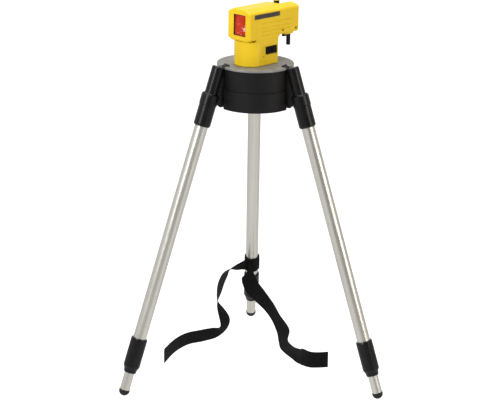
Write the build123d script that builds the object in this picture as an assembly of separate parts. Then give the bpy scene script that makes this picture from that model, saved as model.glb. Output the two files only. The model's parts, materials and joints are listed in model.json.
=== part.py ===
from build123d import *
import os
from math import cos, pi, radians, sin, sqrt, tan

# Cross-line laser level standing on the round head of a three-legged telescopic tripod.
# Millimetres. The model is drawn about the tripod's own vertical axis, with the floor at z = 0,
# and moved at the end so that the origin is the centre of the footprint's box.
# +Z is up and -Y is the front, so the third leg points to the back, along +Y.

# ---------------------------------------------------------------- driving dimensions
# fits
SLIP = 0.05          # radial running clearance
SEAT = 0.02          # radial clearance of a pressed or glued seat
PLAY = 0.4           # side clearance of a moulded part that turns in a slot
FACE = 0.3           # gap between faces of parts that move on each other

# legs
LEG_LEAN = 18.13     # degrees from vertical when spread
FOOT_REACH = 247.0   # from the tripod axis to each leg's axis, on the floor
LEG_HEADINGS = {"left": 210.0, "right": 330.0, "back": 90.0}
OUTER_R = 11.0
INNER_R = 8.4
TUBE_WALL = 1.2
FOOT_R = 9.0
FOOT_CAP_TOP = 11.5  # stations along a leg are measured from its axis point on the floor
FOOT_STEM = 15.0
INNER_TUBE_TOP = 440.0
BUSH_LENGTH = 16.0
GRIP_LOW = 42.35
GRIP_TOP = 102.8
GRIP_R = 13.8
GRIP_TAPER = 11.0
COLLET_R = 12.2
COLLET_TOP = 80.0
OUTER_TUBE_LOW = 56.0
SLEEVE_LOW = 471.9
SLEEVE_R = 14.0
COLLAR_LOW = 508.0
COLLAR_TOP = 527.0
COLLAR_R = 14.7
NECK_R = 10.6
NECK_TOP = 572.5
NECK_WALL = 3.0

# head
PLATE_TOP = 544.0
PLATE_R = 63.5
PLATE_THICK = 3.2
UPPER_R = 62.4
SEAM_Z = 506.0
LOWER_R = 64.0
HEAD_LOW = 473.0
SHELL = 3.0
CHEEK = 4.0
POCKET_HALF = 7.1
STOP_R = 52.2        # the pocket wall that the spread leg rests against
POCKET_R = 47.0
PIVOT_R = 58.0
PIVOT_Z = 490.0
PIN_R = 2.5
HUB_R = 9.0          # round end of the leg bracket about its pin
POST_R = 12.0
SCREW_R = 2.0
SCREW_HEAD_R = 3.5
SCREW_HEAD = 4.0
BASE_SCREW_CIRCLE = 36.0
PLATE_SCREW_CIRCLE = 30.0

# laser housing, in its own frame: X to the rear, Z up from the plate, origin on the tripod axis
LASER_TURN = 45.0
LASER_X = 1.0        # the laser stands this far beside the plate's centre
BODY_HALF = 26.0
COLUMN_ROUND = 26.5  # radius of the column's round front, which meets the flat sides at an edge
COLUMN_FRONT = -13.8  # centre of that radius
COLUMN_REAR = 26.0
HEAD_REAR = 73.5
HEAD_UNDER = 46.5
HEAD_TOP = 94.5
BEZEL_FRONT = -41.5
BEZEL_BACK = -26.0
BEZEL_LOW = 41.0
WALL = 2.2
KNEE_R = 8.0         # hollow round between the column and the tail
ROOF_FLAT = 13.0     # half width of the flat roof between its two slopes
ROOF_DROP = 5.7
RECESS_FRONT = 39.0  # open step in the rear of the roof, where the button stands
RECESS_SIDE = -11.0
RECESS_FLOOR = 84.0
BODY_GAP = 0.6       # from the plate to the column's lower edge
FLOOR_LOW = 3.2
FLOOR_HIGH = 5.2
FOOT_DISC_R = 22.0
STUD_R = 4.0
STUD_TOP = 6.6
WINDOW_W = 27.2
WINDOW_H = 35.0
WINDOW_V = -2.0      # the window sits a little towards the switch side
WINDOW_Z = 67.6
DOOR_HALF = 18.0
DOOR_TOP = 27.0
DOOR_LOW = 4.8
DOOR_PIVOT = (COLUMN_REAR - 1.4, DOOR_LOW + 1.4)
PIP_R = 0.8
PIP_LENGTH = 1.2
CELL_R = 7.1
CELL_LENGTH = 49.2
CELL_PITCH = 16.0
CELL_Z = 14.3
SWITCH_Z = 24.2
SWITCH_TRAVEL = 9.4
BUTTON_U = 45.5
BUTTON_R = 4.8
LEVER_U = 58.5
LEVER_V = -16.0
GIMBAL_U = 4.0
GIMBAL_Z = 83.0

# strap
STRAP_WIDTH = 28.0
STRAP_THICK = 1.8
STRAP_STATION = 124.0  # where it is tied round the back leg

NODES = {}


def keep(name, shape):
    """Files a finished sub-part under its node name."""
    NODES[name] = shape


def rod(radius, low, high):
    """A cylinder on the Z axis from one height to another."""
    return Pos(Z=(low + high) / 2) * Cylinder(radius, high - low)


def tube(outer, inner, low, high):
    return rod(outer, low, high) - rod(inner, low - 1, high + 1)


def block(x0, x1, y0, y1, z0, z1):
    return Pos((x0 + x1) / 2, (y0 + y1) / 2, (z0 + z1) / 2) * Box(x1 - x0, y1 - y0, z1 - z0)


def cross_rod(radius, half, x, z):
    """A cylinder along Y, centred on y = 0."""
    return Pos(x, 0, z) * Rot(X=90) * Cylinder(radius, 2 * half)


def turned(points):
    """A solid of revolution about Z from (radius, height) points."""
    return revolve(make_face(Plane.XZ * Polyline(*points, close=True)), Axis.Z)


# ---------------------------------------------------------------- legs
def leg_place(heading):
    """The frame of a spread leg: Z up along the leg from the floor, X outward."""
    return Rot(Z=heading) * Pos(X=FOOT_REACH) * Rot(Y=-LEG_LEAN)


def axis_reach(height):
    """How far the leg's axis is from the tripod axis at a height."""
    return FOOT_REACH - height * tan(radians(LEG_LEAN))


def foot_cap():
    centre = FOOT_R / cos(radians(LEG_LEAN))
    dome = Pos(Z=centre) * Sphere(FOOT_R)
    stem = rod(INNER_R - TUBE_WALL - SLIP, centre, FOOT_CAP_TOP + FOOT_STEM)
    return dome - rod(2 * FOOT_R, FOOT_CAP_TOP, 3 * FOOT_R) + rod(FOOT_R, centre, FOOT_CAP_TOP) + stem


def inner_tube():
    return tube(INNER_R, INNER_R - TUBE_WALL, FOOT_CAP_TOP, INNER_TUBE_TOP)


def slide_bush():
    bore = OUTER_R - TUBE_WALL
    ring = tube(bore - SLIP, INNER_R + SEAT, INNER_TUBE_TOP - BUSH_LENGTH, INNER_TUBE_TOP + 1.5)
    lid = tube(bore - SLIP, INNER_R - TUBE_WALL - 1, INNER_TUBE_TOP + FACE / 10, INNER_TUBE_TOP + 1.5)
    return ring + lid


def outer_tube():
    return tube(OUTER_R, OUTER_R - TUBE_WALL, OUTER_TUBE_LOW, COLLAR_TOP - 1.5)


def tube_end_collet():
    """The threaded plastic end of the outer tube, with slotted fingers that close on the inner tube."""
    body = tube(COLLET_R, OUTER_R + SEAT, OUTER_TUBE_LOW - 2, COLLET_TOP)
    fingers = turned([
        (INNER_R + SLIP, GRIP_LOW + 2.5),
        (INNER_R + 1.4, GRIP_LOW + 2.5),
        (COLLET_R - 1.0, OUTER_TUBE_LOW - 2),
        (COLLET_R, OUTER_TUBE_LOW - 2),
        (COLLET_R, OUTER_TUBE_LOW - SEAT),
        (INNER_R + SLIP, OUTER_TUBE_LOW - SEAT),
    ])
    slots = [Rot(Z=90 * i) * block(INNER_R - 1, COLLET_R + 2, -0.7, 0.7, GRIP_LOW, OUTER_TUBE_LOW - 4)
             for i in range(4)]
    return body + fingers - slots


def clamp_grip():
    """Twist grip: turned by hand, its tapered end squeezes the collet."""
    shell = turned([
        (0, GRIP_LOW),
        (INNER_R + 1.9, GRIP_LOW),
        (GRIP_R - 2.4, GRIP_LOW + GRIP_TAPER - 5),
        (GRIP_R, GRIP_LOW + GRIP_TAPER),
        (GRIP_R, GRIP_TOP - 2.2),
        (GRIP_R - 1.0, GRIP_TOP),
        (0, GRIP_TOP),
    ])
    bore = turned([
        (0, GRIP_LOW - 1),
        (INNER_R + SLIP, GRIP_LOW - 1),
        (INNER_R + SLIP, GRIP_LOW + 2.1),
        (INNER_R + 1.4 + FACE, GRIP_LOW + 2.1),
        (COLLET_R - 1.0 + FACE, OUTER_TUBE_LOW - 2 - FACE),
        (COLLET_R + SLIP, OUTER_TUBE_LOW - 2 - FACE),
        (COLLET_R + SLIP, COLLET_TOP + FACE),
        (OUTER_R + SLIP, COLLET_TOP + FACE),
        (OUTER_R + SLIP, GRIP_TOP + 1),
        (0, GRIP_TOP + 1),
    ])
    flutes = []
    for i in range(12):
        flutes.append(Rot(Z=30 * i) * Pos(GRIP_R + 1.35, 0, (GRIP_LOW + GRIP_TOP) / 2 + 4)
                      * Cylinder(1.6, GRIP_TOP - GRIP_LOW - 24))
    return shell - bore - flutes


def leg_bracket():
    """Moulded top of a leg: sleeve for the tube, solid neck, and the web that carries the hinge."""
    sleeve = turned([
        (0, SLEEVE_LOW),
        (SLEEVE_R - 1.5, SLEEVE_LOW),
        (SLEEVE_R, SLEEVE_LOW + 2.5),
        (SLEEVE_R, COLLAR_LOW - FACE),
        (SLEEVE_R - 1.6, COLLAR_LOW - FACE),
        (SLEEVE_R - 1.6, COLLAR_TOP + FACE),
        (NECK_R, COLLAR_TOP + FACE),
        (NECK_R, NECK_TOP - 1.2),
        (NECK_R - 1.2, NECK_TOP),
        (0, NECK_TOP),
    ])
    tube_bore = rod(OUTER_R + SEAT, SLEEVE_LOW - 1, COLLAR_TOP - 1.5 + SEAT)
    hollow = rod(NECK_R - NECK_WALL, COLLAR_TOP - 2, NECK_TOP - NECK_WALL)
    stand = Pos(X=FOOT_REACH) * Rot(Y=-LEG_LEAN)
    half = POCKET_HALF - PLAY
    inner = STOP_R + FACE
    web_top = PLATE_TOP + 2.6
    low = PIVOT_Z - HUB_R
    low_reach = axis_reach(low)
    outline = [
        (PIVOT_R, low),
        (low_reach, low),
        (axis_reach(PLATE_TOP - 4), PLATE_TOP - 4),
        (inner + 10.0, PLATE_TOP - 4),
        (inner + 1.5, web_top),
        (inner, web_top),
        (inner, PIVOT_Z),
        (PIVOT_R, PIVOT_Z),
    ]
    web = extrude(Plane.XZ * make_face(Polyline(*outline, close=True)), half, both=True)
    web += cross_rod(HUB_R, half, PIVOT_R, PIVOT_Z)
    web -= cross_rod(PIN_R + SLIP, half + 1, PIVOT_R, PIVOT_Z)
    whole = stand * sleeve + web
    whole -= stand * tube_bore
    return stand.inverse() * (whole - stand * hollow)


def leg_collar():
    """Split ring round the top of the sleeve, open where the web passes."""
    ring = turned([
        (SLEEVE_R - 1.6 + SEAT, COLLAR_LOW),
        (COLLAR_R, COLLAR_LOW),
        (COLLAR_R, COLLAR_TOP - 2.4),
        (COLLAR_R - 2.0, COLLAR_TOP),
        (SLEEVE_R - 1.6 + SEAT, COLLAR_TOP),
    ])
    half = POCKET_HALF - PLAY + SEAT
    return ring - block(-COLLAR_R - 1, 0, -half, half, COLLAR_LOW - 1, COLLAR_TOP + 1)


LEG_PARTS = [foot_cap, inner_tube, slide_bush, outer_tube, tube_end_collet, clamp_grip,
             leg_bracket, leg_collar]


def make_legs():
    for part in LEG_PARTS:
        shape = part()
        for side, heading in LEG_HEADINGS.items():
            keep(f"{part.__name__}_{side}", leg_place(heading) * shape)


# ---------------------------------------------------------------- tripod head
def at_headings(shape, turn=0.0):
    return [Rot(Z=heading + turn) * shape for heading in LEG_HEADINGS.values()]


def pocket_cuts(inner, low, high, half=POCKET_HALF):
    return at_headings(block(inner, LOWER_R + 10, -half, half, low, high))


def neck_cuts():
    """Room for the necks where they lean in over the rim."""
    room = rod(NECK_R + PLAY + FACE, COLLAR_TOP + 2, NECK_TOP + 30)
    return [leg_place(heading) * room for heading in LEG_HEADINGS.values()]


def screw_hole(circle, radius, low, high):
    return Pos(X=circle) * rod(radius, low, high)


def top_plate():
    disc = rod(PLATE_R, PLATE_TOP - PLATE_THICK, PLATE_TOP)
    disc = fillet(disc.edges().group_by(Axis.Z)[-1], 0.8)
    holes = at_headings(screw_hole(PLATE_SCREW_CIRCLE, SCREW_R + SEAT, PLATE_TOP - PLATE_THICK - 1,
                                   PLATE_TOP - 0.8))
    return disc - pocket_cuts(STOP_R, 0, PLATE_TOP + 1) - neck_cuts() - holes


def housing_shell(radius, low, high, pocket):
    """A round drum section whose pocket cheeks are closed to its inside; returns solid and cavity."""
    outer = rod(radius, low, high)
    core = rod(radius - SHELL, low, high)
    cheeks = pocket_cuts(pocket - CHEEK, low - 1, high + 1, POCKET_HALF + CHEEK)
    return outer, core - cheeks


def upper_housing():
    high = PLATE_TOP - PLATE_THICK
    outer, core = housing_shell(UPPER_R, SEAM_Z, high, STOP_R)
    cavity = core & rod(PLATE_R, SEAM_Z - 1, high - SHELL + 0.5)
    shell = outer - cavity
    boss_low = HEAD_LOW + 2 * SHELL + SCREW_HEAD + SEAT
    bosses = at_headings(screw_hole(BASE_SCREW_CIRCLE, 5.0, boss_low, high - 1), 60)
    bores = at_headings(screw_hole(BASE_SCREW_CIRCLE, SCREW_R + SEAT, boss_low - 1, boss_low + 17), 60)
    plate_holes = at_headings(screw_hole(PLATE_SCREW_CIRCLE, SCREW_R + 0.2, high - SHELL - 1, high + 1))
    centre = rod(POST_R + SEAT, high - SHELL, high - 1.2)
    whole = shell + bosses - pocket_cuts(STOP_R, 0, high + 1) - neck_cuts()
    return whole - bores - plate_holes - centre


def lower_housing():
    high = SEAM_Z - FACE
    outer, core = housing_shell(LOWER_R, HEAD_LOW, high, POCKET_R)
    outer = fillet(outer.edges().group_by(Axis.Z)[0], 2.0)
    outer = chamfer(outer.edges().group_by(Axis.Z)[-1], 1.0)
    shell = outer - (core & rod(PLATE_R, HEAD_LOW + SHELL, high + 1))
    counter = HEAD_LOW + SCREW_HEAD + 1
    seats = at_headings(screw_hole(BASE_SCREW_CIRCLE, 6.0, HEAD_LOW + 1, HEAD_LOW + 2 * SHELL + SCREW_HEAD), 60)
    drills = at_headings(screw_hole(BASE_SCREW_CIRCLE, SCREW_R + 0.2, HEAD_LOW - 1, counter + 20), 60)
    counters = at_headings(screw_hole(BASE_SCREW_CIRCLE, SCREW_HEAD_R + 0.3, HEAD_LOW - 1, counter), 60)
    pins = at_headings(cross_rod(PIN_R + SEAT, POCKET_HALF + CHEEK - 0.4, PIVOT_R, PIVOT_Z))
    whole = shell + seats - pocket_cuts(POCKET_R, 0, high + 1)
    return whole - drills - counters - pins


def centre_post():
    top = PLATE_TOP - PLATE_THICK - 1.2
    return tube(POST_R, POST_R / 2, HEAD_LOW + SHELL, top)


def hinge_pins():
    pin = cross_rod(PIN_R, POCKET_HALF + CHEEK - 0.6, PIVOT_R, PIVOT_Z)
    return Compound(children=at_headings(pin))


def base_screws():
    seat = HEAD_LOW + SCREW_HEAD + 1
    screw = screw_hole(BASE_SCREW_CIRCLE, SCREW_R, seat - 0.5, seat + 20)
    head = screw_hole(BASE_SCREW_CIRCLE, SCREW_HEAD_R, seat - SCREW_HEAD, seat)
    socket = Pos(BASE_SCREW_CIRCLE, 0, seat - SCREW_HEAD) * extrude(RegularPolygon(1.7, 6), 2.2)
    return Compound(children=at_headings(screw + head - socket, 60))


def plate_screws():
    under = PLATE_TOP - PLATE_THICK - SHELL + 0.5
    screw = screw_hole(PLATE_SCREW_CIRCLE, SCREW_R, under - 0.5, PLATE_TOP - 1)
    head = screw_hole(PLATE_SCREW_CIRCLE, SCREW_HEAD_R, under - 2.2, under)
    return Compound(children=at_headings(screw + head))


def make_head():
    for part in (top_plate, upper_housing, lower_housing, centre_post, hinge_pins, base_screws,
                 plate_screws):
        keep(part.__name__, part())


# ---------------------------------------------------------------- laser
def laser_place():
    return Pos(X=LASER_X, Z=PLATE_TOP) * Rot(Z=LASER_TURN)


def column_plan(inset=0.0):
    """Plan of the column: round front, flat sides and rear."""
    half = BODY_HALF - inset
    rear = COLUMN_REAR - inset
    round_front = Pos(COLUMN_FRONT, 0) * Circle(COLUMN_ROUND - inset)
    sides = Pos((COLUMN_FRONT + rear) / 2, 0) * Rectangle(rear - COLUMN_FRONT, 2 * half)
    return (round_front & Rectangle(200, 2 * half)) + sides


def front_profile(inset=0.0):
    """Head-on outline: a flat roof with a slope down to each side."""
    half, top = BODY_HALF - inset, HEAD_TOP - inset
    eaves = HEAD_TOP - ROOF_DROP - 1.1 * inset
    outline = make_face(Polyline((-half, -5), (half, -5), (half, eaves), (ROOF_FLAT, top),
                                 (-ROOF_FLAT, top), (-half, eaves), close=True))
    if inset:
        return outline
    outline = fillet([v for v in outline.vertices() if abs(v.Y - eaves) < 0.01], 4.0)
    return fillet([v for v in outline.vertices() if abs(v.Y - top) < 0.01], 6.0)


def side_profile():
    """Side view of the column and the tail in one outline, with a hollow knee between them."""
    outline = make_face(Polyline((-60, BODY_GAP), (COLUMN_REAR, BODY_GAP), (COLUMN_REAR, HEAD_UNDER),
                                 (HEAD_REAR, HEAD_UNDER), (HEAD_REAR, HEAD_TOP), (-60, HEAD_TOP),
                                 close=True))
    for u, w, radius in ((COLUMN_REAR, HEAD_UNDER, KNEE_R), (HEAD_REAR, HEAD_UNDER, 5.0),
                         (HEAD_REAR, HEAD_TOP, 8.0)):
        corner = [v for v in outline.vertices() if abs(v.X - u) < 0.01 and abs(v.Y - w) < 0.01]
        outline = fillet(corner, radius)
    return outline


def outer_body():
    body = extrude(Plane.XZ * side_profile(), BODY_HALF, both=True)
    rim = [e for e in body.edges()
           if abs(abs(e.center().Y) - BODY_HALF) < 0.01 and e.center().Z > BODY_GAP + 0.1
           and e.center().X > -59]
    body = fillet(rim, 3.0)
    body &= extrude(Plane.YZ * front_profile(), 120, both=True)
    hood_low = BEZEL_LOW - FACE
    around = block(-80, COLUMN_FRONT, -40, 40, -1, hood_low)
    around -= extrude(column_plan(), hood_low + 10)
    boss = Pos(LEVER_U - 2.4, LEVER_V, 0) * extrude(SlotOverall(23, 12.6), HEAD_UNDER)
    boss &= block(0, 100, -40, 40, HEAD_UNDER - 3.0, HEAD_UNDER + 1)
    step = block(RECESS_FRONT, 120, RECESS_SIDE, 60, RECESS_FLOOR, 200)
    return body + boss - [around, block(-80, BEZEL_BACK, -40, 40, hood_low, 200), step]


def inner_room():
    """The hollow inside the housing shells."""
    column = Pos(Z=FLOOR_HIGH) * extrude(column_plan(WALL), HEAD_UNDER + WALL)
    low, rear, half = HEAD_UNDER + WALL, HEAD_REAR - WALL, BODY_HALF - WALL
    head = block(BEZEL_BACK - 1, rear, -half, half, low, HEAD_TOP - WALL)
    head = fillet([e for e in head.edges().filter_by(Axis.Y) if e.center().X > rear - 1], 4.0)
    mouth = block(BEZEL_BACK - 1, BEZEL_BACK + 20, -half, half, BEZEL_LOW + WALL, HEAD_TOP - WALL)
    hood = block(-80, BEZEL_BACK, -40, 40, BEZEL_LOW - WALL - FACE, HEAD_TOP + 20)
    room = (column - hood + head + mouth) & extrude(Plane.YZ * front_profile(WALL), 120, both=True)
    return room - block(RECESS_FRONT - WALL, 120, RECESS_SIDE - WALL, 60, RECESS_FLOOR - WALL, 200)


def side_grooves():
    cuts = []
    for height, rear in ((70.2, 57.0), (61.8, 57.0), (56.0, 50.0), (50.2, 26.0)):
        for side in (-1, 1):
            length = rear - COLUMN_FRONT
            line = Pos(COLUMN_FRONT + length / 2, side * (BODY_HALF + 0.3), height)
            cuts.append(line * Rot(Y=90) * Cylinder(1.1, length))
    return cuts


# Housing screws: place along the body, height, and the side that the head is on.
SCREW_SPOTS = ((35.6, 53.0, -1), (66.0, 53.0, -1), (62.0, 74.0, 1), (22.8, 37.0, 1), (-22.0, 34.0, 1))


def housing():
    body = outer_body() - inner_room()
    foot_room = rod(FOOT_DISC_R + FACE, -1, FLOOR_LOW)
    stud_hole = rod(STUD_R + SLIP, 0, FLOOR_HIGH + 1)
    door = block(COLUMN_REAR - WALL - 4, COLUMN_REAR + 1, -DOOR_HALF - PLAY, DOOR_HALF + PLAY,
                 DOOR_LOW - 0.9, DOOR_TOP + PLAY)
    pip_holes = cross_rod(PIP_R + SLIP, DOOR_HALF + PLAY + PIP_LENGTH + SLIP, *DOOR_PIVOT)
    recess_face = Plane.XZ * (Pos(4.3, SWITCH_Z) * RectangleRounded(35.4, 14.4, 1.5))
    recess = Pos(Y=-BODY_HALF + 1.5) * extrude(recess_face, 5)
    recess_back = Pos(Y=-BODY_HALF + 1.5 + WALL) * extrude(
        Plane.XZ * (Pos(4.3, SWITCH_Z) * RectangleRounded(38.4, 17.4, 1.5)), WALL)
    slot = block(8.9 - SWITCH_TRAVEL - 2.4, 8.9 + 2.4, -BODY_HALF - 1, -BODY_HALF + 6,
                 SWITCH_Z - 2.3, SWITCH_Z + 2.3)
    button_hole = Pos(BUTTON_U, 0, RECESS_FLOOR) * Cylinder(BUTTON_R + SLIP, 20)
    body += recess_back & block(-80, 80, -BODY_HALF + 0.5, 0, 0, 60)
    for u, z, side in SCREW_SPOTS:
        body += Pos(u, 0, z) * Rot(X=90) * Cylinder(3.4, 2 * BODY_HALF - 3)
        body -= Pos(u, 0, z) * Rot(X=90) * Cylinder(1.3, 2 * BODY_HALF - 8)
        body -= Pos(u, side * BODY_HALF, z) * Rot(X=90) * Cylinder(2.2, 8.0)
    body -= [foot_room, stud_hole, door, pip_holes, recess, slot, button_hole]
    body -= side_grooves()
    return body


def half_of(body, side):
    return body & block(-100, 100, min(0, side * 60), max(0, side * 60), -5, 120)


def front_bezel():
    """Hood around the window, with sloping roof edges and cut lower corners."""
    cut_v, cut_w = 9.0, 4.0
    corners = make_face(Polyline((-BODY_HALF + cut_v, BEZEL_LOW), (BODY_HALF - cut_v, BEZEL_LOW),
                                 (BODY_HALF, BEZEL_LOW + cut_w), (BODY_HALF, HEAD_TOP),
                                 (-BODY_HALF, HEAD_TOP), (-BODY_HALF, BEZEL_LOW + cut_w), close=True))
    outline = front_profile() & corners
    outer = Pos(X=BEZEL_FRONT) * extrude(Plane.YZ * outline, BEZEL_BACK - 0.1 - BEZEL_FRONT)
    outer = fillet(outer.edges().group_by(Axis.X)[0], 3.6)
    cavity = block(BEZEL_FRONT + 2.6, BEZEL_BACK + 1, -BODY_HALF + 4, BODY_HALF - 4,
                   BEZEL_LOW + WALL + 2.5, HEAD_TOP - 3.2)
    cavity &= extrude(Plane.YZ * front_profile(3.2), 120, both=True)
    opening = block(BEZEL_FRONT - 1, BEZEL_FRONT + 4, *window_span())
    return outer - cavity - opening


def window_span(margin=0.0):
    """Low and high of the window opening across the body and in height."""
    return (WINDOW_V - WINDOW_W / 2 - margin, WINDOW_V + WINDOW_W / 2 + margin,
            WINDOW_Z - WINDOW_H / 2 - margin, WINDOW_Z + WINDOW_H / 2 + margin)


def window():
    back = BEZEL_FRONT + 2.6
    return block(back + SEAT, back + 2.0, *window_span(2.0))


def window_gasket():
    front, back = BEZEL_FRONT + 0.8, BEZEL_FRONT + 2.6
    return block(front, back, *window_span(-SEAT)) - block(front - 1, back + 1, *window_span(-0.9))


def label_strip():
    return block(-31.0, 27.0, -BODY_HALF - 0.35, -BODY_HALF, 78.6, 86.0)


def swivel_foot():
    disc = rod(FOOT_DISC_R, 0.2, FLOOR_LOW - FACE)
    magnets = [Rot(Z=120 * i) * Pos(X=13.5) * rod(5.0 + SEAT, -1, 2.2) for i in range(3)]
    groove = tube(STUD_R + 1, STUD_R - 0.9, FLOOR_HIGH + 0.2, FLOOR_HIGH + 0.9)
    return disc + rod(STUD_R, 0.2, STUD_TOP) - magnets - groove


def foot_magnets():
    return Compound(children=[Rot(Z=120 * i) * Pos(X=13.5) * rod(5.0, 0, 2.15) for i in range(3)])


def swivel_clip():
    ring = tube(6.0, STUD_R - 0.85, FLOOR_HIGH + 0.22, FLOOR_HIGH + 0.88)
    return ring - block(0, 10, -1.2, 1.2, 0, 10)


def battery_cells():
    front = -26.6
    cells = []
    for side in (-1, 1):
        can = Cylinder(CELL_R, CELL_LENGTH)
        nub = Pos(Z=side * (CELL_LENGTH / 2 + 0.6)) * Cylinder(2.7, 1.2)
        place = Pos(front + CELL_LENGTH / 2, side * CELL_PITCH / 2, CELL_Z) * Rot(Y=90)
        cells.append(place * (can + nub))
    return Compound(children=cells)


def battery_tray():
    """Cradle under the two cells, screwed to the housing floor."""
    low = FLOOR_HIGH + SEAT
    body = block(-25.5, 21.0, -17.0, 17.0, low, CELL_Z - 1)
    for side in (-1, 1):
        body -= Pos(0, side * CELL_PITCH / 2, CELL_Z) * Rot(Y=90) * Cylinder(CELL_R + 0.15, 80)
    return body - rod(6.6, 0, 12)


def battery_contacts():
    plates = []
    for side in (-1, 1):
        y = side * CELL_PITCH / 2
        plates.append(block(-29.4, -28.8, y - 5, y + 5, FLOOR_HIGH + SEAT, CELL_Z + 5)
                      + block(-28.8, -27.85, y - 2, y + 2, CELL_Z - 2, CELL_Z + 2))
    return Compound(children=plates)


def battery_door():
    """Rear door, turning on two moulded pips at its lower edge."""
    leaf = block(COLUMN_REAR - WALL, COLUMN_REAR, -DOOR_HALF, DOOR_HALF, DOOR_LOW + 1.4, DOOR_TOP)
    leaf = fillet(leaf.edges().filter_by(Axis.X).group_by(Axis.Z)[-1], 2.0)
    barrel = cross_rod(1.4, DOOR_HALF, *DOOR_PIVOT)
    pips = cross_rod(PIP_R, DOOR_HALF + PLAY + PIP_LENGTH, *DOOR_PIVOT)
    tab = block(COLUMN_REAR - WALL - 1.2, COLUMN_REAR - WALL, -4, 4, DOOR_TOP - 3, DOOR_TOP + 0.2)
    grip = block(COLUMN_REAR - 0.8, COLUMN_REAR + 1, -6, 6, DOOR_TOP - 5.2, DOOR_TOP - 3.8)
    return leaf + barrel + pips + tab - grip


def power_switch():
    cap_low, cap_high = SWITCH_Z - 6.0, SWITCH_Z + 6.2
    face = -BODY_HALF
    cap = block(-2.9, 20.7, face - 0.6, face + 1.2, cap_low, cap_high)
    cap = fillet(cap.edges().group_by(Axis.Y)[0], 0.5)
    for u in (5.0, 8.0, 11.0):
        cap -= block(u - 0.6, u + 0.6, face - 1, face - 0.1, cap_low + 2, cap_high - 2)
    return cap + block(6.9, 10.9, face + 1, face + 6.1, SWITCH_Z - 1.9, SWITCH_Z + 1.9)


def switch_block():
    """Electrical slide switch, open at the front for the slider's stem."""
    front = -BODY_HALF + 4.2
    body = block(-5.5, 14.0, front, front + 3.2, SWITCH_Z - 4.5, SWITCH_Z + 4.5)
    return body - block(-3.2, 11.6, front - 1, front + 2.5, SWITCH_Z - 2.6, SWITCH_Z + 2.6)


def circuit_board():
    front = -BODY_HALF + 7.4 + SEAT
    board = block(-9.0, 19.0, front, front + 1.4, 22.2, 44.0)
    chips = block(-5.0, 3.0, front + 1.4, front + 2.6, 33.0, 41.0)
    return board + chips + block(8.0, 14.0, front + 1.4, front + 4.0, 34.0, 38.0)


def button_stem():
    stem = Pos(BUTTON_U, 0, 0) * rod(BUTTON_R, RECESS_FLOOR - 5.0, HEAD_TOP + 3.4)
    return stem + Pos(BUTTON_U, 0, 0) * rod(6.4, RECESS_FLOOR - 5.2, RECESS_FLOOR - WALL - FACE)


def button_cap():
    cap = Pos(BUTTON_U, 0, 0) * rod(6.0, HEAD_TOP + 3.4, HEAD_TOP + 7.2)
    return fillet(cap.edges().group_by(Axis.Z)[-1], 1.6)


def clamp_lever():
    """Peg under the tail with a short wedge arm; it turns about the peg's axis."""
    high = HEAD_UNDER - 3.0 - FACE
    peg = Pos(LEVER_U, LEVER_V, 0) * rod(3.5, high - 19.3, high)
    peg = fillet(peg.edges().group_by(Axis.Z)[0], 1.0)
    arm = extrude(make_face(Polyline((0, -3.2), (-13.5, -2.0), (-13.5, 2.0), (0, 3.2), close=True)), 3.4)
    return peg + Pos(LEVER_U, LEVER_V, high - 3.4) * arm


def gimbal_bracket():
    top = HEAD_TOP - WALL - SEAT
    plate = block(GIMBAL_U - 12, GIMBAL_U + 12, -16.0, 16.0, top - 2.0, top)
    ears = [block(GIMBAL_U - 4, GIMBAL_U + 4, side * 16.0 if side < 0 else 14.0,
                  -14.0 if side < 0 else 16.0, GIMBAL_Z - 4, top - 1) for side in (-1, 1)]
    under_roof = extrude(Plane.YZ * front_profile(WALL + SEAT), 120, both=True)
    return ((plate + ears) & under_roof) - cross_rod(1.5 + SLIP, 20, GIMBAL_U, GIMBAL_Z)


def gimbal_ring():
    outer = block(GIMBAL_U - 9, GIMBAL_U + 9, -13.0, 13.0, GIMBAL_Z - 2, GIMBAL_Z + 2)
    ring = outer - block(GIMBAL_U - 6.5, GIMBAL_U + 6.5, -10.5, 10.5, GIMBAL_Z - 3, GIMBAL_Z + 3)
    trunnions = cross_rod(1.5, 15.8, GIMBAL_U, GIMBAL_Z) - block(-20, 30, -11, 11, 70, 95)
    bore = Pos(GIMBAL_U, 0, GIMBAL_Z) * Rot(Y=90) * Cylinder(1.2 + SLIP, 30)
    return ring + trunnions - bore


def pendulum_arm():
    """Hanging frame: a cross pin in the gimbal ring, a stem and a copper-coloured weight."""
    pin = Pos(GIMBAL_U, 0, GIMBAL_Z) * Rot(Y=90) * Cylinder(1.2, 17.6)
    hub = block(GIMBAL_U - 5, GIMBAL_U + 5, -6, 6, GIMBAL_Z - 3.5, GIMBAL_Z + 2.5)
    stem = block(GIMBAL_U - 3, GIMBAL_U + 3, -5, 5, WINDOW_Z + 7, GIMBAL_Z - 3)
    saddle = block(GIMBAL_U - 6, GIMBAL_U + 6, -8, 8, WINDOW_Z - 8, WINDOW_Z + 8)
    saddle -= Pos(GIMBAL_U, 0, WINDOW_Z) * Rot(Y=90) * Cylinder(6.0 + SEAT, 40)
    weight = Pos(GIMBAL_U, 0, 0) * rod(7.5, WINDOW_Z - 14, WINDOW_Z - 7)
    return pin + hub + stem + saddle + weight


def laser_module():
    barrel = Pos(GIMBAL_U, 0, WINDOW_Z) * Rot(Y=90) * Cylinder(6.0, 34)
    return barrel - Pos(GIMBAL_U - 17, 0, WINDOW_Z) * Rot(Y=90) * Cylinder(4.2 + SEAT, 8)


def module_lens():
    lens = Pos(GIMBAL_U - 15, 0, WINDOW_Z) * Rot(Y=90) * Cylinder(4.2, 4)
    return lens


def damping_magnet():
    """Magnet on a shelf under the pendulum's weight; it calms the swing."""
    shelf = block(GIMBAL_U - 9, GIMBAL_U + 9, -BODY_HALF + WALL + SEAT, BODY_HALF - WALL - SEAT, 46.0, 48.0)
    return shelf + Pos(GIMBAL_U, 0, 0) * rod(7.0, 48.0, 51.4)


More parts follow.
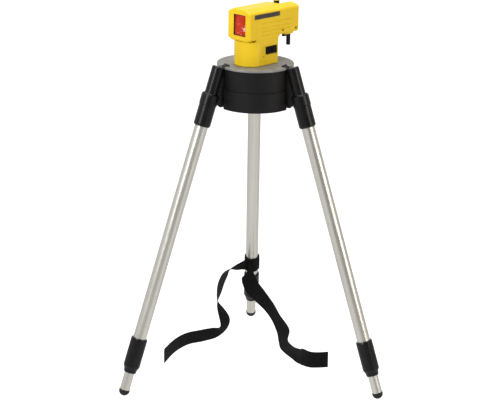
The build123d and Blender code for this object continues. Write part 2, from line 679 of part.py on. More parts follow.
def housing_screws():
    screws = []
    for u, z, side in SCREW_SPOTS:
        head = Pos(Z=BODY_HALF - 3.3) * Cylinder(2.1, 1.4)
        shank = Pos(Z=BODY_HALF - 10.0) * Cylinder(1.25, 12.5)
        cross = Pos(Z=BODY_HALF - 2.6) * (Box(2.6, 0.6, 1.2) + Box(0.6, 2.6, 1.2))
        screws.append(Pos(u, 0, z) * Rot(X=-90 * side) * (head + shank - cross))
    return Compound(children=screws)


LASER_PARTS = [swivel_foot, foot_magnets, swivel_clip, front_bezel, window, window_gasket, label_strip,
               battery_cells, battery_tray, battery_contacts, battery_door, power_switch, switch_block,
               circuit_board, button_stem, button_cap, clamp_lever, gimbal_bracket, gimbal_ring,
               pendulum_arm, laser_module, module_lens, damping_magnet, housing_screws]


def make_laser():
    place = laser_place()
    shell = housing()
    keep("housing_left", place * half_of(shell, 1))
    keep("housing_right", place * half_of(shell, -1))
    for part in LASER_PARTS:
        keep(part.__name__, place * part())


# ---------------------------------------------------------------- strap
# Each station of a tail: centre, then the direction across the webbing.
LEFT_TAIL = [
    ((-8, 195.4, 120), (0.0, -0.35, 0.94)),
    ((-16, 194, 119), (0.05, -0.6, 0.8)),
    ((-28, 190, 116), (0.0, -0.77, 0.63)),
    ((-40, 184, 114), (0.0, -0.95, 0.31)),
    ((-48, 177, 107), (0.3, -0.93, 0.2)),
    ((-55, 168, 94), (0.38, -0.89, 0.25)),
    ((-59, 158, 79), (0.27, -0.92, 0.27)),
    ((-61, 150, 65), (0.0, -0.93, 0.36)),
    ((-55, 142, 53), (-0.43, -0.84, 0.33)),
    ((-49, 135, 41), (-0.62, -0.75, 0.22)),
    ((-47, 129, 29), (-0.55, -0.82, 0.15)),
    ((-53, 126, 20), (-0.4, -0.75, 0.5)),
    ((-68, 123, 14), (-0.24, -0.45, 0.86)),
    ((-91, 108, 14), (-0.15, -0.35, 0.92)),
    ((-113, 95, 14), (-0.12, -0.36, 0.92)),
    ((-131, 68, 14), (0.0, -0.26, 0.97)),
    ((-143, 38, 14), (0.0, -0.2, 0.98)),
    ((-151, 11, 14), (0.0, -0.15, 0.99)),
]
RIGHT_TAIL = [
    ((-6, 197, 111), (0.1, -0.35, 0.93)),
    ((-7, 190, 99), (0.76, -0.3, 0.5)),
    ((1, 184, 81), (0.87, 0.17, 0.46)),
    ((16, 174, 66), (0.72, 0.6, 0.33)),
    ((34, 163, 48), (0.6, 0.79, 0.1)),
    ((46, 146, 34), (0.5, 0.86, 0.09)),
    ((58, 122, 20), (0.8, 0.6, 0.0)),
    ((58, 96, 11), (0.6, 0.78, -0.2)),
    ((65, 76, 6), (0.8, 0.6, -0.05)),
    ((79, 48, 7), (0.5, 0.8, 0.33)),
    ((89, 22, 12), (0.2, 0.5, 0.84)),
    ((102, 5, 14), (0.05, 0.2, 0.98)),
    ((118, 3, 14), (0.0, 0.1, 0.99)),
    ((134, 6, 14), (0.0, 0.1, 0.99)),
]


def webbing(stations):
    """A flat band through the stations, standing clear of the floor."""
    half = STRAP_WIDTH / 2
    centres, across = [], []
    for centre, direction in stations:
        width_dir = Vector(*direction).normalized()
        spot = Vector(*centre)
        clear = half * abs(width_dir.Z) + STRAP_THICK * 0.5 + FACE
        if spot.Z < clear:
            spot = Vector(spot.X, spot.Y, clear)
        centres.append(spot)
        across.append(width_dir)
    sections = []
    last = len(centres) - 1
    for i, (spot, width_dir) in enumerate(zip(centres, across)):
        run = centres[min(i + 1, last)] - centres[max(i - 1, 0)]
        normal = run.cross(width_dir).normalized()
        plane = Plane(origin=spot, x_dir=width_dir, z_dir=width_dir.cross(normal))
        sections.append(plane * Rectangle(STRAP_WIDTH, STRAP_THICK))
    return loft(sections, ruled=True)


def strap_loop():
    low = STRAP_STATION - STRAP_WIDTH / 2
    ring = tube(OUTER_R + FACE + STRAP_THICK, OUTER_R + FACE, low, low + STRAP_WIDTH)
    return leg_place(LEG_HEADINGS["back"]) * ring


def make_strap():
    keep("strap_loop", strap_loop())
    keep("strap_tail_left", webbing(LEFT_TAIL))
    keep("strap_tail_right", webbing(RIGHT_TAIL))


# ---------------------------------------------------------------- assembly
def footprint_shift():
    """Moves the model so that the origin is under the middle of its box."""
    feet = [NODES[f"foot_cap_{side}"].bounding_box() for side in LEG_HEADINGS]
    x_mid = (min(b.min.X for b in feet) + max(b.max.X for b in feet)) / 2
    y_mid = (min(b.min.Y for b in feet) + max(b.max.Y for b in feet)) / 2
    return Pos(-x_mid, -y_mid, 0)


def main():
    make_legs()
    make_head()
    make_laser()
    make_strap()
    shift = footprint_shift()
    print("origin shift", tuple(round(v, 4) for v in shift.position))
    os.makedirs("parts", exist_ok=True)
    for name, shape in NODES.items():
        export_step(shift * shape, f"parts/{name}.step")


main()
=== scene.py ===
import json
import math

import bpy
from mathutils import Matrix, Vector


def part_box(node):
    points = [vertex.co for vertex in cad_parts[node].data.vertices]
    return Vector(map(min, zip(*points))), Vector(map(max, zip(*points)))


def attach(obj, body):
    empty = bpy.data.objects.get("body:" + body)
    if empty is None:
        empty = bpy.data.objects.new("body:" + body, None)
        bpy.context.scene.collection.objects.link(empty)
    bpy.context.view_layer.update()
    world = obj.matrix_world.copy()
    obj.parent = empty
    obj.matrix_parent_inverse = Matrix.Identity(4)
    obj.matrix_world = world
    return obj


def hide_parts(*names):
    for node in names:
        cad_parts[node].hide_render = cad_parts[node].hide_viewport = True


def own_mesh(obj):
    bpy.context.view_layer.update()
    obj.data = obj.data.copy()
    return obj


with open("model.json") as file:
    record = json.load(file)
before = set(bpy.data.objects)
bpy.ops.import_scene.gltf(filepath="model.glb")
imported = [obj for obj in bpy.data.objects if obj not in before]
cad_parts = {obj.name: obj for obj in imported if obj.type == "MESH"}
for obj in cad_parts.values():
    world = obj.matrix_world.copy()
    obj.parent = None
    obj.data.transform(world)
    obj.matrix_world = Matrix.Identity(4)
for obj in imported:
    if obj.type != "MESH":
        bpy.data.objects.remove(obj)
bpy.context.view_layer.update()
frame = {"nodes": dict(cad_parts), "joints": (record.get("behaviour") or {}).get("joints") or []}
NODES = frame["nodes"]
SIDES = ("left", "right", "back")
MM = 0.001

# ---------------------------------------------------------------- places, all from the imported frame
post_low, post_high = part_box("centre_post")
AXIS = (post_low + post_high) / 2
AXIS.z = 0
PLATE_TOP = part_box("top_plate")[1].z
JOINTS = {joint["name"]: joint for joint in frame["joints"]}
TURN = math.radians(45)
LASER_SPOT = Vector((0.001, 0, 0))  # the laser stands a little beside the plate's centre
ALONG = Vector((math.cos(TURN), math.sin(TURN), 0))
ACROSS = Vector((-math.sin(TURN), math.cos(TURN), 0))


def at_laser(u, v, w):
    """A point by the laser's own millimetres: u to its rear, v to its left, w above the plate."""
    return AXIS + LASER_SPOT + (ALONG * u + ACROSS * v) * MM + Vector((0, 0, PLATE_TOP + w * MM))


def at_tripod(x, y, z):
    return AXIS + Vector((x, y, z)) * MM


def leg_axis(side):
    """A point of the leg's axis on the floor, and its direction up the leg."""
    joint = JOINTS[f"grip_turn_{side}"]
    return Vector(joint["pos_m"]), Vector(joint["axis"]).normalized()


# ---------------------------------------------------------------- material helpers
def srgb(red, green, blue):
    """Linear colour from display values of 0 to 255."""
    def linear(value):
        value /= 255
        return value / 12.92 if value <= 0.04045 else ((value + 0.055) / 1.055) ** 2.4
    return (linear(red), linear(green), linear(blue), 1.0)


class Finish:
    """A material under construction: a Principled surface and a few ways to add detail to it."""

    def __init__(self, name, colour, roughness, metallic=0.0, **sockets):
        self.material = bpy.data.materials.new(name)
        self.material.use_nodes = True
        self.tree = self.material.node_tree
        self.shader = self.tree.nodes["Principled BSDF"]
        self.coords = self.add("ShaderNodeTexCoord").outputs["Object"]
        self.set("Base Color", colour)
        self.set("Roughness", roughness)
        self.set("Metallic", metallic)
        for socket, value in sockets.items():
            self.set(socket.replace("_", " "), value)

    def add(self, kind, **settings):
        node = self.tree.nodes.new(kind)
        for key, value in settings.items():
            setattr(node, key, value)
        return node

    def set(self, socket, value):
        self.shader.inputs[socket].default_value = value

    def link(self, output, target):
        self.tree.links.new(output, target)

    def noise(self, scale, detail=3.0, coords=None):
        node = self.add("ShaderNodeTexNoise")
        node.inputs["Scale"].default_value = scale
        node.inputs["Detail"].default_value = detail
        self.link(coords or self.coords, node.inputs["Vector"])
        return node.outputs["Fac"]

    def remap(self, value, low, high, out_low, out_high):
        node = self.add("ShaderNodeMapRange")
        for socket, number in zip(("From Min", "From Max", "To Min", "To Max"),
                                  (low, high, out_low, out_high)):
            node.inputs[socket].default_value = number
        self.link(value, node.inputs["Value"])
        return node.outputs["Result"]

    def vary_colour(self, factor, first, second):
        """Base colour between two, by a factor."""
        mix = self.add("ShaderNodeMix", data_type="RGBA")
        self.link(factor, mix.inputs["Factor"])
        mix.inputs["A"].default_value = first
        mix.inputs["B"].default_value = second
        self.link(mix.outputs["Result"], self.shader.inputs["Base Color"])
        return mix.outputs["Result"]

    def vary_roughness(self, factor, low, high):
        self.link(self.remap(factor, 0.3, 0.7, low, high), self.shader.inputs["Roughness"])

    def bump(self, height, distance, strength=1.0, normal=None):
        node = self.add("ShaderNodeBump")
        node.inputs["Distance"].default_value = distance
        node.inputs["Strength"].default_value = strength
        self.link(height, node.inputs["Height"])
        if normal:
            self.link(normal, node.inputs["Normal"])
        self.link(node.outputs["Normal"], self.shader.inputs["Normal"])
        return node.outputs["Normal"]

    def soft_edges(self, radius):
        """Shading that rounds the sharp edges of machined and moulded pieces."""
        node = self.add("ShaderNodeBevel", samples=6)
        node.inputs["Radius"].default_value = radius
        return node.outputs["Normal"]


def shade(finish, *names):
    for name in names:
        obj = NODES[name]
        obj.data.materials.clear()
        obj.data.materials.append(finish.material)


def each_leg(*names):
    return [f"{name}_{side}" for name in names for side in SIDES]


# ---------------------------------------------------------------- materials
def yellow_shell():
    finish = Finish("yellow_shell", srgb(240, 203, 20), 0.38, Specular_IOR_Level=0.4)
    cloud = finish.noise(22.0, 2.0)
    finish.vary_colour(finish.remap(cloud, 0.35, 0.65, 0.0, 1.0), srgb(238, 198, 14), srgb(243, 206, 24))
    finish.vary_roughness(finish.noise(160.0, 4.0), 0.3, 0.42)
    grain = finish.noise(3200.0, 2.0)
    finish.bump(grain, 0.00004, 0.35, finish.soft_edges(0.0006))
    return finish


def black_moulding():
    finish = Finish("black_moulding", srgb(14, 14, 16), 0.3, Specular_IOR_Level=0.26)
    cloud = finish.noise(30.0, 3.0)
    finish.vary_colour(finish.remap(cloud, 0.35, 0.65, 0.0, 1.0), srgb(10, 10, 12), srgb(17, 17, 19))
    finish.vary_roughness(finish.noise(220.0, 4.0), 0.22, 0.36)
    grain = finish.noise(2600.0, 2.5)
    finish.bump(grain, 0.00003, 0.3, finish.soft_edges(0.0007))
    return finish


def drum_plastic():
    """The drum's coarser, duller moulding."""
    finish = Finish("drum_plastic", srgb(18, 18, 19), 0.42, Specular_IOR_Level=0.22)
    cloud = finish.noise(16.0, 4.0)
    finish.vary_colour(finish.remap(cloud, 0.35, 0.65, 0.0, 1.0), srgb(13, 13, 15), srgb(20, 19, 20))
    finish.vary_roughness(finish.noise(120.0, 4.0), 0.42, 0.6)
    grain = finish.noise(1700.0, 3.0)
    finish.bump(grain, 0.00006, 0.5, finish.soft_edges(0.0012))
    return finish


def black_rubber():
    finish = Finish("black_rubber", srgb(24, 24, 25), 0.6, Specular_IOR_Level=0.3)
    dust = finish.noise(90.0, 5.0)
    finish.vary_colour(finish.remap(dust, 0.4, 0.75, 0.0, 1.0), srgb(20, 20, 21), srgb(40, 39, 38))
    finish.bump(finish.noise(1500.0, 3.0), 0.0001, 0.5, finish.soft_edges(0.0006))
    return finish


def drawn_tube(side):
    """Satin anodised tube with fine draw lines along the leg."""
    finish = Finish(f"drawn_tube_{side}", srgb(214, 212, 205), 0.34, 1.0)
    direction = leg_axis(side)[1]
    along = finish.add("ShaderNodeVectorMath", operation="DOT_PRODUCT")
    finish.link(finish.coords, along.inputs[0])
    along.inputs[1].default_value = direction
    shrink = finish.add("ShaderNodeVectorMath", operation="SCALE")
    shrink.inputs[0].default_value = direction * -0.992
    finish.link(along.outputs["Value"], shrink.inputs["Scale"])
    squeezed = finish.add("ShaderNodeVectorMath", operation="ADD")
    finish.link(finish.coords, squeezed.inputs[0])
    finish.link(shrink.outputs["Vector"], squeezed.inputs[1])
    lines = finish.noise(2300.0, 2.0, squeezed.outputs["Vector"])
    broad = finish.noise(260.0, 2.0, squeezed.outputs["Vector"])
    finish.vary_colour(finish.remap(broad, 0.3, 0.7, 0.0, 1.0), srgb(204, 202, 195), srgb(222, 220, 213))
    finish.vary_roughness(lines, 0.28, 0.42)
    finish.bump(lines, 0.00003, 0.3)
    return finish


def cast_plate():
    finish = Finish("cast_plate", srgb(136, 135, 133), 0.5, 0.35)
    cloud = finish.noise(55.0, 5.0)
    finish.vary_colour(finish.remap(cloud, 0.35, 0.65, 0.0, 1.0), srgb(126, 125, 124), srgb(146, 145, 142))
    finish.vary_roughness(finish.noise(300.0, 4.0), 0.42, 0.6)
    finish.bump(finish.noise(1400.0, 4.0), 0.00008, 0.5, finish.soft_edges(0.0005))
    return finish


def plain_metal(name, colour, roughness, scale=900.0):
    finish = Finish(name, colour, roughness, 1.0)
    finish.vary_roughness(finish.noise(scale, 3.0), roughness * 0.8, roughness * 1.25)
    finish.bump(finish.noise(scale * 2, 2.0), 0.00003, 0.3, finish.soft_edges(0.0002))
    return finish


def plain_moulding(name, colour, roughness):
    finish = Finish(name, colour, roughness)
    finish.vary_roughness(finish.noise(200.0, 3.0), roughness * 0.85, roughness * 1.2)
    finish.bump(finish.noise(2400.0, 2.0), 0.00004, 0.4, finish.soft_edges(0.0003))
    return finish


def red_window():
    """Red pane, with pale facets painted in its lower near corner as glints: painted highlights in place of
    the lit optics behind it.
    """
    finish = Finish("red_window", srgb(190, 40, 20), 0.12, Specular_IOR_Level=0.15, Coat_Weight=0.1,
                    Coat_Roughness=0.04)
    spot = finish.add("ShaderNodeVectorMath", operation="SUBTRACT")
    finish.link(finish.coords, spot.inputs[0])
    spot.inputs[1].default_value = at_laser(0, -9.5, 62)
    sideways = finish.add("ShaderNodeVectorMath", operation="DOT_PRODUCT")
    finish.link(spot.outputs["Vector"], sideways.inputs[0])
    sideways.inputs[1].default_value = ACROSS * 230
    height = finish.add("ShaderNodeVectorMath", operation="DOT_PRODUCT")
    finish.link(spot.outputs["Vector"], height.inputs[0])
    height.inputs[1].default_value = (0, 0, 75)
    together = finish.add("ShaderNodeCombineXYZ")
    finish.link(sideways.outputs["Value"], together.inputs["X"])
    finish.link(height.outputs["Value"], together.inputs["Y"])
    far = finish.add("ShaderNodeVectorMath", operation="LENGTH")
    finish.link(together.outputs["Vector"], far.inputs[0])
    # painted glints: pale facets that fade out with distance from a spot low on the pane's near side
    near = finish.remap(far.outputs["Value"], 0.5, 1.25, 0.16, 0.0)
    facets = finish.add("ShaderNodeTexVoronoi", feature="F1", distance="MANHATTAN")
    facets.inputs["Scale"].default_value = 330.0
    finish.link(finish.coords, facets.inputs["Vector"])
    grey = finish.add("ShaderNodeSeparateColor")
    finish.link(facets.outputs["Color"], grey.inputs["Color"])
    lift = finish.add("ShaderNodeMath", operation="ADD")
    finish.link(grey.outputs["Red"], lift.inputs[0])
    finish.link(near, lift.inputs[1])
    glint_mask = finish.remap(lift.outputs["Value"], 0.93, 1.02, 0.0, 1.0)
    deep = finish.add("ShaderNodeMix", data_type="RGBA")
    finish.link(finish.remap(finish.noise(60.0, 2.0), 0.35, 0.65, 0.0, 1.0), deep.inputs["Factor"])
    deep.inputs["A"].default_value = srgb(182, 38, 14)
    deep.inputs["B"].default_value = srgb(208, 62, 28)
    show = finish.add("ShaderNodeMix", data_type="RGBA")
    finish.link(glint_mask, show.inputs["Factor"])
    finish.link(deep.outputs["Result"], show.inputs["A"])
    # the pale pink of the painted glints
    show.inputs["B"].default_value = srgb(238, 196, 200)
    finish.link(show.outputs["Result"], finish.shader.inputs["Base Color"])
    finish.bump(finish.noise(110.0, 2.0), 0.00005, 0.15)
    return finish


def label_film():
    finish = Finish("label_film", srgb(62, 56, 57), 0.45, Specular_IOR_Level=0.3)
    streak = finish.noise(400.0, 3.0)
    finish.vary_colour(finish.remap(streak, 0.35, 0.65, 0.0, 1.0), srgb(56, 50, 51), srgb(70, 64, 65))
    finish.bump(finish.noise(2000.0, 2.0), 0.00003, 0.3)
    return finish


def clear_glass():
    finish = Finish("clear_glass", (0.95, 0.97, 1.0, 1.0), 0.02, Transmission_Weight=0.95, IOR=1.5)
    finish.bump(finish.noise(60.0, 1.0), 0.00002, 0.1)
    return finish


def webbing_weave():
    """Black webbing: ribs across the band and a fine twill between them."""
    finish = Finish("webbing_weave", srgb(12, 12, 13), 0.8, Specular_IOR_Level=0.12, Sheen_Weight=0.02,
                    Sheen_Roughness=0.5)
    uv = finish.add("ShaderNodeTexCoord").outputs["UV"]
    ribs = finish.add("ShaderNodeTexWave", wave_type="BANDS", bands_direction="Y")
    ribs.inputs["Scale"].default_value = 260.0
    ribs.inputs["Distortion"].default_value = 0.4
    finish.link(uv, ribs.inputs["Vector"])
    twill = finish.add("ShaderNodeTexWave", wave_type="BANDS", bands_direction="DIAGONAL")
    twill.inputs["Scale"].default_value = 420.0
    twill.inputs["Distortion"].default_value = 0.3
    finish.link(uv, twill.inputs["Vector"])
    weave = finish.add("ShaderNodeMath", operation="MULTIPLY_ADD")
    finish.link(ribs.outputs["Fac"], weave.inputs[0])
    weave.inputs[1].default_value = 0.7
    finish.link(twill.outputs["Fac"], weave.inputs[2])
    lint = finish.noise(140.0, 4.0)
    finish.vary_colour(finish.remap(lint, 0.4, 0.7, 0.0, 1.0), srgb(10, 10, 11), srgb(18, 18, 19))
    finish.bump(weave.outputs["Value"], 0.00022, 0.7)
    return finish


def paint_nodes():
    yellow = yellow_shell()
    black = black_moulding()
    drum = drum_plastic()
    steel = plain_metal("zinc_steel", srgb(176, 176, 178), 0.32)
    shade(yellow, "housing_left", "housing_right", "front_bezel", "button_cap", "battery_door")
    shade(black, *each_leg("tube_end_collet", "clamp_grip", "leg_bracket", "leg_collar"), "swivel_foot",
          "battery_tray", "switch_block", "button_stem", "clamp_lever")
    slider = plain_moulding("slider_black", srgb(8, 8, 9), 0.6)
    slider.set("Specular IOR Level", 0.12)
    shade(slider, "power_switch")
    shade(drum, "upper_housing", "lower_housing")
    shade(black_rubber(), *each_leg("foot_cap"))
    for side in SIDES:
        shade(drawn_tube(side), f"inner_tube_{side}", f"outer_tube_{side}")
    shade(plain_moulding("natural_nylon", srgb(206, 203, 194), 0.5), *each_leg("slide_bush"))
    shade(cast_plate(), "top_plate")
    shade(plain_metal("cast_core", srgb(168, 168, 168), 0.55, 500.0), "centre_post")
    shade(steel, "hinge_pins", "base_screws", "plate_screws", "housing_screws", "battery_contacts",
          "swivel_clip", "foot_magnets", "damping_magnet")
    shade(red_window(), "window")
    shade(plain_moulding("window_rubber", srgb(58, 20, 18), 0.6), "window_gasket")
    shade(label_film(), "label_strip")
    shade(plain_moulding("board_resist", srgb(24, 92, 48), 0.35), "circuit_board")
    shade(plain_moulding("cell_wrap", srgb(46, 48, 54), 0.25), "battery_cells")
    shade(plain_metal("zinc_casting", srgb(150, 150, 152), 0.45, 600.0), "gimbal_bracket", "gimbal_ring")
    shade(plain_metal("turned_brass", srgb(214, 176, 92), 0.3), "pendulum_arm", "laser_module")
    shade(clear_glass(), "module_lens")


LASER_HALF = 26  # from the laser's middle plane to its side, in its own millimetres


def make_marks():
    """Plain dashes printed beside the switch, in place of its lettering."""
    ink = Finish("mark_ink", srgb(70, 58, 22), 0.5)
    ink.vary_roughness(ink.noise(900.0, 2.0), 0.45, 0.6)
    for name, u, w, width in (("mark_front", -9.3, 15.0, 3.2), ("mark_rear", 19.3, 15.9, 3.0)):
        corners = []
        for depth in (0.0, 0.06):
            for du, dw in ((-0.5, -0.45), (0.5, -0.45), (0.5, 0.45), (-0.5, 0.45)):
                corners.append(at_laser(u + du * width, -LASER_HALF - depth, w + dw))
        mesh = bpy.data.meshes.new(name)
        mesh.from_pydata(corners, [], [(0, 3, 2, 1), (4, 5, 6, 7), (0, 1, 5, 4), (1, 2, 6, 5), (2, 3, 7, 6),
                                       (3, 0, 4, 7)])
        mesh.materials.append(ink.material)
        piece = bpy.data.objects.new(name, mesh)
        bpy.context.scene.collection.objects.link(piece)
        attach(piece, "laser_body")


# ---------------------------------------------------------------- strap
STRAP_WIDTH = 28 * MM
STRAP_THICK = 1.5 * MM
FLOOR_CLEAR = 0.3 * MM
# Each station of a tail, from the tripod's axis in millimetres: centre, then the direction across.
LEFT_TAIL = [
    ((-8, 195.4, 120), (0.0, -0.35, 0.94)),
    ((-16, 194, 119), (0.05, -0.6, 0.8)),
    ((-28, 190, 116), (0.0, -0.77, 0.63)),
    ((-40, 184, 114), (0.0, -0.95, 0.31)),
    ((-48, 177, 107), (0.3, -0.93, 0.2)),
    ((-55, 168, 94), (0.38, -0.89, 0.25)),
    ((-59, 158, 79), (0.27, -0.92, 0.27)),
    ((-61, 150, 65), (0.0, -0.93, 0.36)),
    ((-55, 142, 53), (-0.43, -0.84, 0.33)),
    ((-49, 135, 41), (-0.62, -0.75, 0.22)),
    ((-47, 129, 29), (-0.55, -0.82, 0.15)),
    ((-53, 126, 20), (-0.4, -0.75, 0.5)),
    ((-68, 123, 14), (-0.24, -0.45, 0.86)),
    ((-91, 108, 14), (-0.15, -0.35, 0.92)),
    ((-113, 95, 14), (-0.12, -0.36, 0.92)),
    ((-131, 68, 14), (0.0, -0.26, 0.97)),
    ((-143, 38, 14), (0.0, -0.2, 0.98)),
    ((-151, 11, 14), (0.0, -0.15, 0.99)),
]
RIGHT_TAIL = [
    ((-3, 193.5, 120), (0.1, -0.35, 0.93)),
    ((-6, 195.5, 111), (0.35, -0.35, 0.85)),
    ((-7, 190, 99), (0.76, -0.3, 0.5)),
    ((1, 184, 81), (0.87, 0.17, 0.46)),
    ((16, 174, 66), (0.72, 0.6, 0.33)),
    ((34, 163, 48), (0.6, 0.79, 0.1)),
    ((46, 146, 34), (0.5, 0.86, 0.09)),
    ((58, 122, 20), (0.8, 0.6, 0.0)),
    ((58, 96, 11), (0.6, 0.78, -0.2)),
    ((65, 76, 6), (0.8, 0.6, -0.05)),
    ((79, 48, 7), (0.5, 0.8, 0.33)),
    ((89, 22, 12), (0.2, 0.5, 0.84)),
    ((102, 5, 14), (0.05, 0.2, 0.98)),
    ((118, 3, 14), (0.0, 0.1, 0.99)),
    ((134, 6, 14), (0.0, 0.1, 0.99)),
]
TUBE_R = 11 * MM
LOOP_TURNS = 1.12
LOOP_RAISE = 3.5 * MM      # the loop sits this far up the leg from its plain stand-in
LOOP_INNER_GAP = 1.1 * MM  # from the tube to the middle of the band
LOOP_LAYER = 1.3 * MM      # how far the outer turn lies over the inner one
BAND_ACROSS = 10     # faces across the webbing
BAND_STEP = 0.0025   # length of a face along it


def curve_point(points, i, t):
    """Catmull-Rom between points i and i + 1."""
    last = len(points) - 1
    a, b = points[max(i - 1, 0)], points[i]
    c, d = points[min(i + 1, last)], points[min(i + 2, last)]
    square = (2 * a - 5 * b + 4 * c - d) * t ** 2
    cube = (3 * b - a - 3 * c + d) * t ** 3
    return 0.5 * (2 * b + (c - a) * t + square + cube)


def smooth_stations(stations):
    """Close, even stations along the band: centre, direction across, distance from its start."""
    centres = [at_tripod(*centre) for centre, _ in stations]
    across = [Vector(direction).normalized() for _, direction in stations]
    fine, travelled, previous = [], 0.0, None
    for i in range(len(stations) - 1):
        steps = max(2, round((centres[i + 1] - centres[i]).length / BAND_STEP))
        for k in range(steps + (i == len(stations) - 2)):
            spot = curve_point(centres, i, k / steps)
            direction = curve_point(across, i, k / steps).normalized()
            clear = STRAP_WIDTH / 2 * abs(direction.z) + STRAP_THICK / 2 + FLOOR_CLEAR
            spot.z = max(spot.z, clear)
            travelled += (spot - previous).length if previous else 0.0
            previous = spot
            fine.append((spot, direction, travelled))
    return fine


def band(name, fine):
    """Webbing as a thin closed strip with selvedges, from close stations."""
    mesh = bpy.data.meshes.new(name)
    verts, faces, uvs = [], [], []
    outline = []
    for i in range(BAND_ACROSS + 1):
        share = i / BAND_ACROSS
        edge = min(share, 1 - share) * BAND_ACROSS
        outline.append((share - 0.5, 0.5 if edge >= 1 else 0.32))
    ring = [(s, h) for s, h in outline] + [(s, -h) for s, h in reversed(outline)]
    for k, (spot, direction, travelled) in enumerate(fine):
        ahead = fine[min(k + 1, len(fine) - 1)][0] - fine[max(k - 1, 0)][0]
        normal = ahead.cross(direction).normalized()
        for share, height in ring:
            verts.append(spot + direction * share * STRAP_WIDTH + normal * height * STRAP_THICK)
            uvs.append(((share + 0.5) * STRAP_WIDTH, travelled))
    n = len(ring)
    for k in range(len(fine) - 1):
        for i in range(n):
            j = (i + 1) % n
            faces.append((k * n + i, k * n + j, (k + 1) * n + j, (k + 1) * n + i))
    last = (len(fine) - 1) * n
    for i in range(n // 2 - 1):
        faces.append((i + 1, i, n - 1 - i, n - 2 - i))
        faces.append((last + i, last + i + 1, last + n - 2 - i, last + n - 1 - i))
    mesh.from_pydata(verts, [], faces)
    layer = mesh.uv_layers.new(name="weave")
    for loop in mesh.loops:
        layer.data[loop.index].uv = uvs[loop.vertex_index]
    mesh.validate()
    for polygon in mesh.polygons:
        polygon.use_smooth = True
    piece = bpy.data.objects.new(name, mesh)
    bpy.context.scene.collection.objects.link(piece)
    return piece


def loop_stations():
    """The band wound round the back leg: a little over one turn, the outer end lying on the inner one."""
    base, up = leg_axis("back")
    side = up.cross(Vector((0, 1, 0))).normalized()
    front = side.cross(up).normalized()
    low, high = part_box("strap_loop")
    middle = base + up * (((low + high) / 2 - base).dot(up) + LOOP_RAISE)
    fine, travelled, previous = [], 0.0, None
    steps = 110
    for k in range(steps + 1):
        share = k / steps
        angle = math.radians(150) + share * LOOP_TURNS * 2 * math.pi
        radius = TUBE_R + LOOP_INNER_GAP + LOOP_LAYER * share
        spot = middle + (side * math.cos(angle) + front * math.sin(angle)) * radius
        travelled += (spot - previous).length if previous else 0.0
        previous = spot
        fine.append((spot, up.copy(), travelled))
    return fine


def make_strap():
    weave = webbing_weave()
    for name, fine, held, gather in (
            ("strap_band_loop", loop_stations(), "stretched", None),
            ("strap_band_left", smooth_stations(LEFT_TAIL), "hung", (-0.61, -0.79, 0)),
            ("strap_band_right", smooth_stations(RIGHT_TAIL), "hung", (0.59, -0.81, 0))):
        piece = band(name, fine)
        piece.data.materials.append(weave.material)
        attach(piece, "leg_back")
        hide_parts(name.replace("_band_loop", "_loop").replace("_band", "_tail"))
        if gather:
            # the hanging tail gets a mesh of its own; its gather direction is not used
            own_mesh(piece)


# ---------------------------------------------------------------- studio
def area_light(name, place, target, size, power, colour=(1, 1, 1)):
    light = bpy.data.lights.new(name, "AREA")
    light.shape = "RECTANGLE"
    light.size, light.size_y = size
    light.energy = power
    light.color = colour
    obj = bpy.data.objects.new(name, light)
    obj.location = place
    obj.rotation_euler = (Vector(target) - Vector(place)).to_track_quat("-Z", "Y").to_euler()
    bpy.context.scene.collection.objects.link(obj)


BACKDROP_DEPTH = -0.36  # low enough to show the legs drawn out at full length


def make_world():
    """White to the eye; the light and the reflections come darker from the front and the right."""
    world = bpy.data.worlds.new("studio_world")
    bpy.context.scene.world = world
    world.use_nodes = True
    tree = world.node_tree
    add, link = tree.nodes.new, tree.links.new
    parts = add("ShaderNodeSeparateXYZ")
    link(add("ShaderNodeTexCoord").outputs["Generated"], parts.inputs["Vector"])
    depth = add("ShaderNodeMapRange")
    depth.inputs["From Min"].default_value, depth.inputs["From Max"].default_value = -1.0, 1.0
    link(parts.outputs["Y"], depth.inputs["Value"])
    front = add("ShaderNodeValToRGB")
    for place, level in ((0.12, 0.3), (0.32, 0.85)):
        stop = front.color_ramp.elements.new(place)
        stop.color = (level, level, level, 1)
    front.color_ramp.elements[0].color = (0.22, 0.22, 0.22, 1)
    front.color_ramp.elements[-1].color = (1, 1, 1, 1)
    link(depth.outputs["Result"], front.inputs["Fac"])
    right = add("ShaderNodeMapRange")
    right.inputs["From Min"].default_value, right.inputs["From Max"].default_value = 0.0, 0.8
    link(parts.outputs["X"], right.inputs["Value"])
    warm = add("ShaderNodeMix")
    warm.data_type, warm.blend_type = "RGBA", "MULTIPLY"
    warm.inputs["B"].default_value = (0.78, 0.72, 0.64, 1)
    link(right.outputs["Result"], warm.inputs["Factor"])
    link(front.outputs["Color"], warm.inputs["A"])
    seen = add("ShaderNodeMix")
    seen.data_type = "RGBA"
    seen.inputs["B"].default_value = (1.25, 1.25, 1.25, 1)
    link(add("ShaderNodeLightPath").outputs["Is Camera Ray"], seen.inputs["Factor"])
    link(warm.outputs["Result"], seen.inputs["A"])
    link(seen.outputs["Result"], tree.nodes["Background"].inputs["Color"])
    tree.nodes["Background"].inputs["Strength"].default_value = 0.85


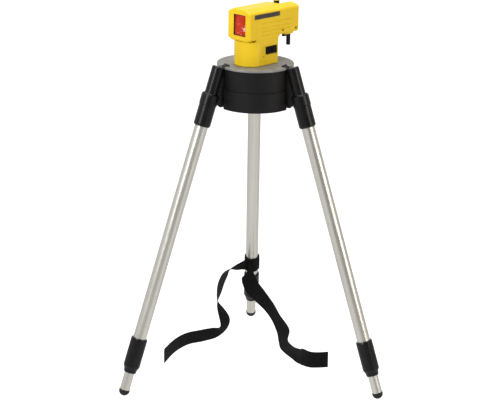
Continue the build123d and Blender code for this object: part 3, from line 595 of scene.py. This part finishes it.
def make_studio():
    finish = Finish("studio_floor", (0.5, 0.5, 0.5, 1.0), 0.9, Specular_IOR_Level=0.0,
                    Emission_Color=(1, 1, 1, 1))
    # a white sweep to the eye, but not a lamp under the object
    seen = finish.add("ShaderNodeLightPath").outputs["Is Camera Ray"]
    finish.link(finish.remap(seen, 0.0, 1.0, 0.25, 0.85), finish.shader.inputs["Emission Strength"])
    mesh = bpy.data.meshes.new("studio_floor")
    reach, count = 30.0, 64
    rim = [(reach * math.cos(2 * math.pi * i / count), reach * math.sin(2 * math.pi * i / count), 0.0)
           for i in range(count)]
    mesh.from_pydata(rim, [], [tuple(range(count))])
    floor = bpy.data.objects.new("studio_floor", mesh)
    mesh.materials.append(finish.material)
    floor.location.z = BACKDROP_DEPTH
    bpy.context.scene.collection.objects.link(floor)
    make_world()
    target = (0, AXIS.y, 0.35)
    area_light("key", (-1.5, -1.9, 1.5), target, (0.8, 1.2), 34, (1.0, 0.99, 0.97))
    area_light("fill", (1.9, -1.3, 0.9), target, (0.9, 1.2), 14, (1.0, 0.96, 0.9))
    area_light("top", (0.0, 0.2, 2.4), target, (1.4, 1.4), 20)


def make_camera():
    """The viewing angle: level heights in metres, angles in radians, from the tripod's axis."""
    height, distance, orbit = 1.1865, 2.7479, -0.0061
    pitch, yaw, roll = 0.31, -0.0021, 0.0145
    focal_share = 3.4244  # focal length over the picture's width
    forward = Vector((math.sin(yaw) * math.cos(pitch), math.cos(yaw) * math.cos(pitch), -math.sin(pitch)))
    right = Vector((math.cos(yaw), -math.sin(yaw), 0))
    up = right.cross(forward)
    right, up = (right * math.cos(roll) + up * math.sin(roll), up * math.cos(roll) - right * math.sin(roll))
    camera = bpy.data.objects.new("camera", bpy.data.cameras.new("camera"))
    camera.data.sensor_width = 36
    camera.data.lens = 36 * focal_share
    stand = Matrix.Translation((0, -distance, height)) @ Matrix((right, up, -forward)).transposed().to_4x4()
    camera.matrix_world = Matrix.Translation(AXIS) @ Matrix.Rotation(orbit, 4, "Z") @ stand
    bpy.context.scene.collection.objects.link(camera)
    bpy.context.scene.camera = camera


make_camera()
make_studio()
paint_nodes()
make_marks()
make_strap()

bpy.context.scene.view_settings.view_transform = "Standard"
